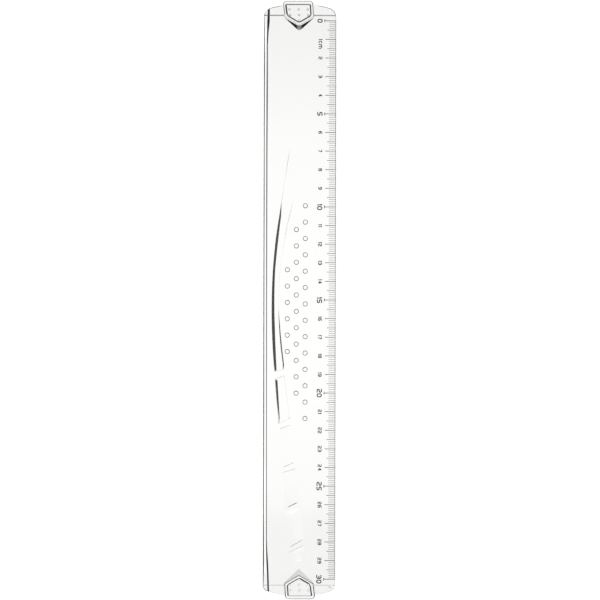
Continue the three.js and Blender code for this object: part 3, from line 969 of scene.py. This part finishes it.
for name, end, shift in (("zero_end_guard", -1, -zero_guard_shift), ("thirty_end_guard", 1, 0)):
    guard = end_guard(name + "_clear", end, shift)
    guard.data.materials.append(guard_plastic)
    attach(guard, "root")
    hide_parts(name)

for name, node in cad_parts.items():
    if name.startswith(("scale_marks", "numeral", "unit_letter")):
        node.data.materials.clear()
        node.data.materials.append(ink)


# Stage

def stage_plane(name, size, z):
    """A square plane that isn't part of the object."""
    mesh = bpy.data.meshes.new(name)
    half = size / 2
    corners = [(-half, -half, z), (half, -half, z), (half, half, z), (-half, half, z)]
    mesh.from_pydata(corners, [], [(0, 1, 2, 3)])
    made = bpy.data.objects.new(name, mesh)
    bpy.context.scene.collection.objects.link(made)
    return made


def white_glow(nodes):
    made = nodes.new("ShaderNodeEmission")
    made.inputs["Color"].default_value = (1, 1, 1, 1)
    return made


def bent_ray(nodes, links, path):
    """1 for a ray that has met the plastic."""
    return math_node(
        nodes, links, "MAXIMUM", path.outputs["Is Glossy Ray"], path.outputs["Is Transmission Ray"]
    )


def floor_material():
    """White paper for the camera. Rays that have met the plastic pass through to the light table below."""
    made, nodes, links, shader, output = material("floor_paper")
    nodes.remove(shader)
    paper = nodes.new("ShaderNodeBsdfDiffuse")
    paper.inputs["Color"].default_value = (paper_tone, paper_tone, paper_tone, 1)
    path = nodes.new("ShaderNodeLightPath")
    glow = white_glow(nodes)
    seen = math_node(nodes, links, "MULTIPLY", path.outputs["Is Camera Ray"], floor_glow)
    links.new(seen, glow.inputs["Strength"])
    add = nodes.new("ShaderNodeAddShader")
    links.new(paper.outputs["BSDF"], add.inputs[0])
    links.new(glow.outputs["Emission"], add.inputs[1])
    through = nodes.new("ShaderNodeBsdfTransparent")
    bent = bent_ray(nodes, links, path)
    surface = mixed(nodes, links, bent, add.outputs["Shader"], through.outputs["BSDF"])
    links.new(surface, output.inputs["Surface"])
    return made


def panel_material():
    """The soft panel overhead, bright across the middle of the ruler and dark beyond its ends."""
    made, nodes, links, shader, output = material("overhead_panel")
    nodes.remove(shader)
    place = nodes.new("ShaderNodeNewGeometry")
    split = nodes.new("ShaderNodeSeparateXYZ")
    links.new(place.outputs["Position"], split.inputs["Vector"])
    spread = nodes.new("ShaderNodeMapRange")
    spread.inputs["From Min"].default_value = -panel_span
    spread.inputs["From Max"].default_value = panel_span
    links.new(split.outputs["X"], spread.inputs["Value"])
    reach = (1 + panel_height * METRE / camera_distance) / METRE
    stops = [((x * reach / panel_span + 1) / 2, level) for x, level in panel_levels]
    ramp = ramp_node(nodes, grey(stops))
    links.new(spread.outputs["Result"], ramp.inputs["Fac"])
    glow = white_glow(nodes)
    level = math_node(nodes, links, "MULTIPLY", ramp.outputs["Color"], panel_strength)
    links.new(level, glow.inputs["Strength"])
    links.new(glow.outputs["Emission"], output.inputs["Surface"])
    return made


floor = stage_plane("floor", floor_size, floor_z)
floor.data.materials.append(floor_material())

panel = stage_plane("overhead_panel", panel_size, panel_height)
panel.data.materials.append(panel_material())
panel.visible_camera = False
panel.visible_diffuse = False
panel.visible_shadow = False


# Light

key = bpy.data.lights.new("key", "SUN")
key.energy = key_strength
key.angle = math.radians(key_spread)
key_object = bpy.data.objects.new("key", key)
key_object.rotation_euler = (*(math.radians(tilt) for tilt in key_tilt), 0)
key_object.visible_glossy = False
key_object.visible_transmission = False
bpy.context.scene.collection.objects.link(key_object)

bpy.context.scene.view_settings.view_transform = "Standard"

world = bpy.data.worlds.new("studio")
bpy.context.scene.world = world
world.use_nodes = True
nodes, links = world.node_tree.nodes, world.node_tree.links
background = nodes["Background"]
path = nodes.new("ShaderNodeLightPath")
place = nodes.new("ShaderNodeTexCoord")
split = nodes.new("ShaderNodeSeparateXYZ")
links.new(place.outputs["Generated"], split.inputs["Vector"])
below = math_node(nodes, links, "MULTIPLY", split.outputs["Z"], -1)
tilt = math_node(nodes, links, "ARCCOSINE", below)
around = ramp_node(nodes, grey([(degrees / 180, level) for degrees, level in field_levels]))
links.new(math_node(nodes, links, "DIVIDE", tilt, math.pi), around.inputs["Fac"])
plain = math_node(nodes, links, "MAXIMUM", path.outputs["Is Camera Ray"], plain_level)
level = nodes.new("ShaderNodeMix")
links.new(bent_ray(nodes, links, path), level.inputs["Factor"])
links.new(plain, level.inputs["A"])
links.new(around.outputs["Color"], level.inputs["B"])
links.new(level.outputs["Result"], background.inputs["Strength"])
background.inputs["Color"].default_value = (1, 1, 1, 1)


# Camera

camera_data = bpy.data.cameras.new("camera")
camera = bpy.data.objects.new("camera", camera_data)
bpy.context.scene.collection.objects.link(camera)
bpy.context.scene.camera = camera
half_frame = frame_pixels / 2 / pixels_per_mm
camera_data.sensor_width = sensor_width
camera_data.lens = sensor_width / 2 * camera_distance / half_frame
camera_data.clip_end = camera_reach
middle_x = (frame_pixels / 2 - origin_pixel[1]) / pixels_per_mm
middle_y = (frame_pixels / 2 - origin_pixel[0]) / pixels_per_mm
eye = Vector((middle_x, middle_y, camera_distance + scale_edge_thickness)) / METRE
right = Vector((-axis_lean, 1, 0)).normalized()
up = Vector((-1, -axis_lean, 0)).normalized()
facing = Matrix((right, up, right.cross(up))).transposed().to_4x4()
camera.matrix_world = Matrix.Translation(eye) @ facing
